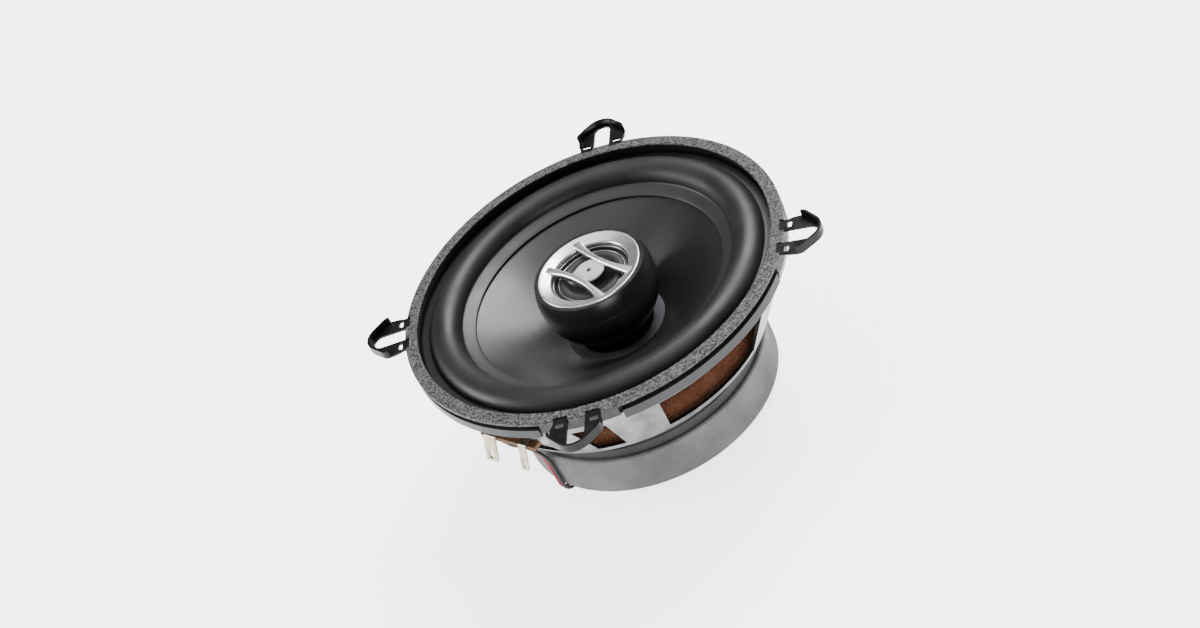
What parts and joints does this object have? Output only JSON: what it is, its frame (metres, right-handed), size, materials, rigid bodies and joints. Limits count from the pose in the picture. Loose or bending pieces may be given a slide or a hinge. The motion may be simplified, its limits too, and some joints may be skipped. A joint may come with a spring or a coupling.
{
  "type": "coaxial loudspeaker",
  "caption": "Round two-way coaxial car loudspeaker with a small tweeter on a post over a dished cone, pressed basket, slotted mounting loops and blade terminals.",
  "frame": {"origin": "centre of the back plate's rear face", "axes": "+Z along the speaker's axis, out of its front; -Y towards the front mounting loop; +X to the right"},
  "size_m": [0.1548, 0.1556, 0.0619],
  "materials": {
    "basket_steel": "bright zinc-plated pressed steel",
    "rivet_steel": "plain steel",
    "ferrite": "bare sintered ferrite, mottled grey",
    "blackened_steel": "dark passivated steel",
    "ring_plastic": "granular textured top, smooth lugs",
    "trim_plastic": "smooth satin",
    "loop_steel": "black powder coat",
    "cone_polymer": "smooth satin moulded polymer",
    "neck_polymer": "smooth grey glue ring",
    "surround_rubber": "satin rubber",
    "former_aluminium": "thin rolled sheet",
    "copper_wire": "enamelled copper winding",
    "spider_cloth": "resin-treated woven cloth",
    "black_plastic": "moulded",
    "housing_plastic": "satin moulded",
    "bezel_silver": "silver-plated plastic",
    "diffuser_plastic": "satin",
    "neodymium": "nickel-plated",
    "dome_film": "thin film",
    "edge_cloth": "coated cloth",
    "capacitor_film": "sleeved",
    "fibre_board": "resin-bonded fibre laminate",
    "rivet_brass": "plain",
    "tinned_brass": "tin-plated brass",
    "lead_red": "insulation",
    "lead_black": "insulation",
    "tinsel_copper": "braided copper"
  },
  "bodies": {
    "chassis": {"basket": "basket_steel", "floor_rivets": "rivet_steel", "magnet": "ferrite", "yoke": "blackened_steel", "top_plate": "blackened_steel", "front_ring": "ring_plastic", "rim_trim": "trim_plastic", "mounting_loop_front": "loop_steel", "mounting_loop_right": "loop_steel", "mounting_loop_rear": "loop_steel", "mounting_loop_left": "loop_steel", "surround": "surround_rubber", "spider": "spider_cloth", "tweeter_post": "black_plastic", "tweeter_housing": "housing_plastic", "tweeter_bezel": "bezel_silver", "tweeter_diffuser": "diffuser_plastic", "tweeter_chassis": "black_plastic", "tweeter_yoke": "blackened_steel", "tweeter_magnet": "neodymium", "tweeter_plate": "rivet_steel", "tweeter_edge": "edge_cloth", "crossover_capacitor": "capacitor_film", "terminal_board": "fibre_board", "board_rivets": "rivet_brass", "positive_terminal": "tinned_brass", "negative_terminal": "tinned_brass", "tweeter_lead_red": "lead_red", "tweeter_lead_black": "lead_black", "tinsel_lead_positive": "tinsel_copper", "tinsel_lead_negative": "tinsel_copper"},
    "cone_assembly": {"cone": "cone_polymer", "neck_ring": "neck_polymer", "coil_former": "former_aluminium", "voice_coil": "copper_wire"},
    "tweeter_diaphragm": {"tweeter_dome": "dome_film", "tweeter_coil": "copper_wire"}
  },
  "joints": [
    {"name": "cone_travel", "type": "slide", "parent": "chassis", "child": "cone_assembly", "axis": [0, 0, 1], "range_m": [-0.0025, 0.0025], "stiffness_N_per_m": 2500, "deforming": ["surround", "spider", "tinsel_lead_positive", "tinsel_lead_negative"]},
    {"name": "tweeter_travel", "type": "slide", "parent": "chassis", "child": "tweeter_diaphragm", "axis": [0, 0, 1], "range_m": [-0.0003, 0.0003], "stiffness_N_per_m": 6000, "deforming": ["tweeter_edge"]}
  ]
}
